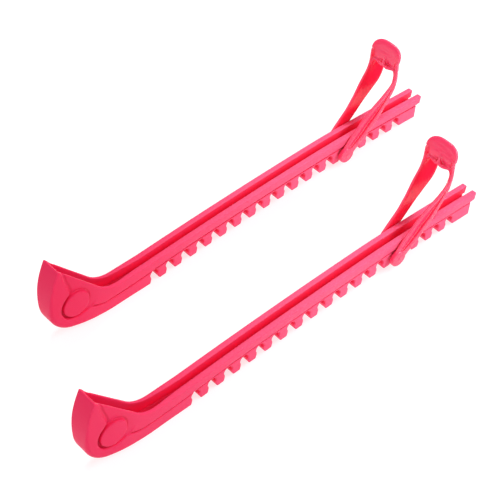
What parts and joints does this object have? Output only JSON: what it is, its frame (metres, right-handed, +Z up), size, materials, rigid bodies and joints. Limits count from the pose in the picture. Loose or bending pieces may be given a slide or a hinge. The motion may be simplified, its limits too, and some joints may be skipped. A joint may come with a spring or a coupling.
{
  "type": "skate blade guards",
  "caption": "Pair of moulded walking guards for figure skate blades, each a slotted rail with a toe cup, a notched keel and a hinged heel clip.",
  "frame": {"origin": "centre of the pair's footprint, on the surface that the guards stand on", "axes": "+X from the toe cups to the heel ends, +Y from the nearer guard to the further one, +Z up"},
  "size_m": [0.3428, 0.1106, 0.0744],
  "materials": {
    "guard_pink": "semi-gloss moulded soft plastic, hot pink",
    "clip_pink": "semi-gloss moulded soft plastic, hot pink"
  },
  "bodies": {
    "guard_a": {"guard_a": "guard_pink"},
    "clip_a": {"clip_a": "clip_pink"},
    "guard_b": {"guard_b": "guard_pink"},
    "clip_b": {"clip_b": "clip_pink"}
  },
  "joints": [
    {"name": "clip_a_swing", "type": "hinge", "parent": "guard_a", "child": "clip_a", "pos_m": [0.10049, 0.04325, 0.00896], "axis": [0, 1, 0], "range_deg": [-100, 24]},
    {"name": "guard_b_lift", "type": "slide", "parent": "guard_a", "child": "guard_b", "axis": [0, 0, 1], "range_m": [0, 0.12]},
    {"name": "clip_b_swing", "type": "hinge", "parent": "guard_b", "child": "clip_b", "pos_m": [0.06009, -0.04325, 0.00896], "axis": [0, 1, 0], "range_deg": [-100, 24]}
  ]
}
